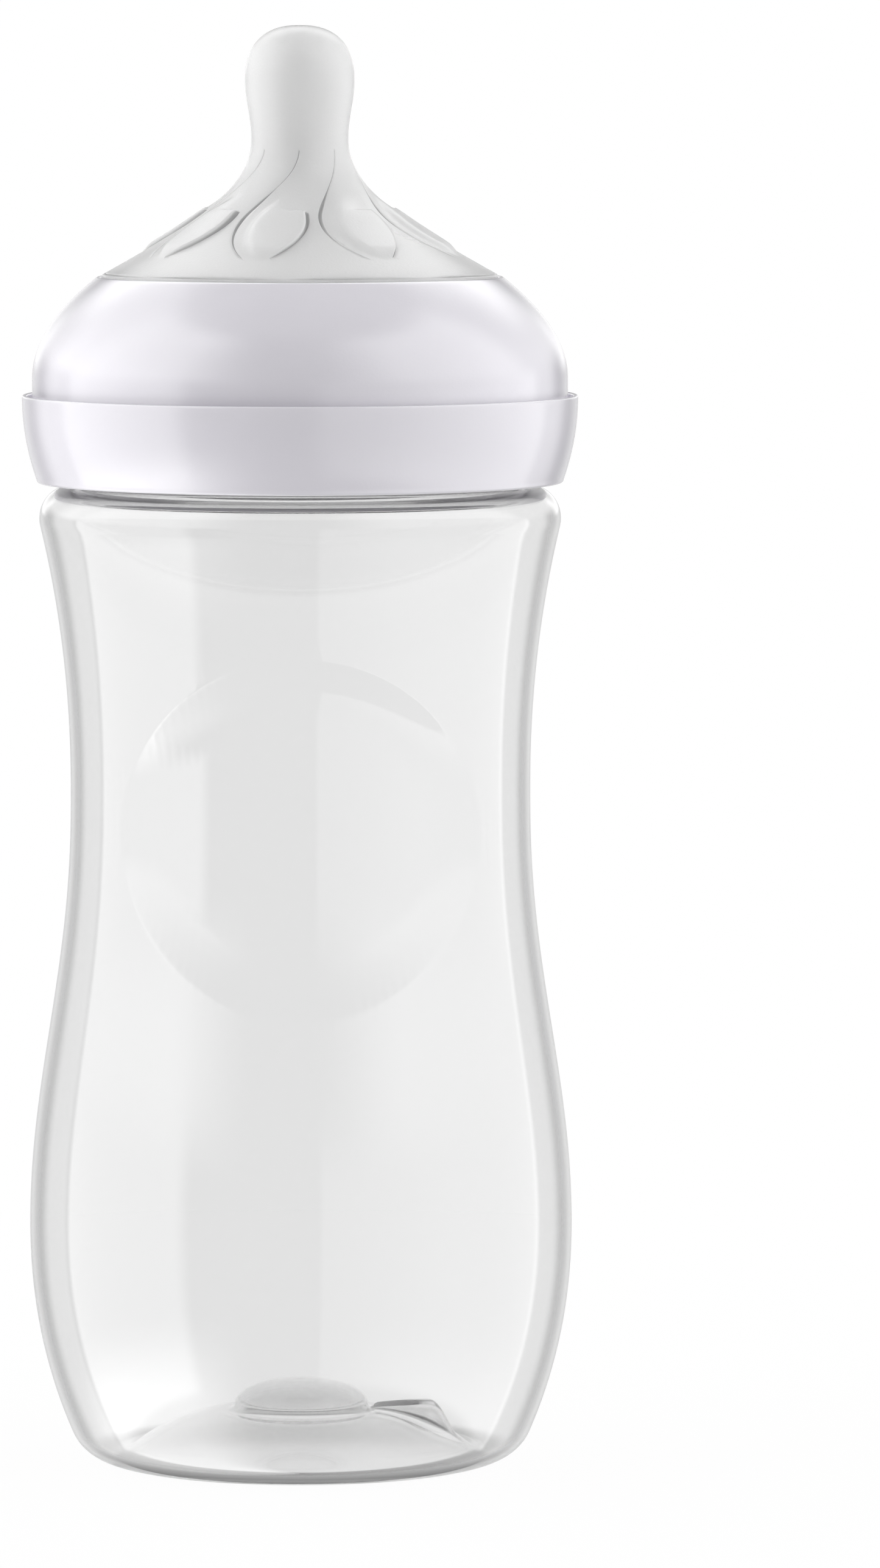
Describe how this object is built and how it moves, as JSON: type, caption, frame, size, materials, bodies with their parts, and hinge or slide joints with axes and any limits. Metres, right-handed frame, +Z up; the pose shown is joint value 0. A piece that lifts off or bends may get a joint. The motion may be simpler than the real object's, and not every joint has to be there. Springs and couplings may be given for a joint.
{
  "type": "baby bottle",
  "caption": "Clear waisted feeding bottle with a round front grip recess, a white domed screw ring that unscrews, and a soft silicone teat held in the ring.",
  "frame": {"origin": "centre of the base, on the plane that the bottle stands on", "axes": "+Z up along the bottle's axis, -Y towards the round grip recess on the front"},
  "size_m": [0.07, 0.07, 0.1813],
  "materials": {
    "clear_plastic": "clear and glossy",
    "white_plastic": "glossy white",
    "silicone": "translucent satin"
  },
  "bodies": {
    "bottle": {"bottle": "clear_plastic"},
    "teat": {"teat": "silicone"},
    "screw_ring": {"screw_ring": "white_plastic"}
  },
  "joints": [
    {"name": "teat_lift", "type": "slide", "parent": "bottle", "child": "teat", "axis": [0, 0, 1], "range_m": [0, 0.00625]},
    {"name": "ring_unscrew", "type": "hinge", "parent": "teat", "child": "screw_ring", "pos_m": [0, 0, 0.14467], "axis": [0, 0, 1], "range_deg": [0, 450]}
  ],
  "couplings": [
    {"joint": "teat_lift", "follows": "ring_unscrew", "m_per_rad": 0.00079577}
  ]
}
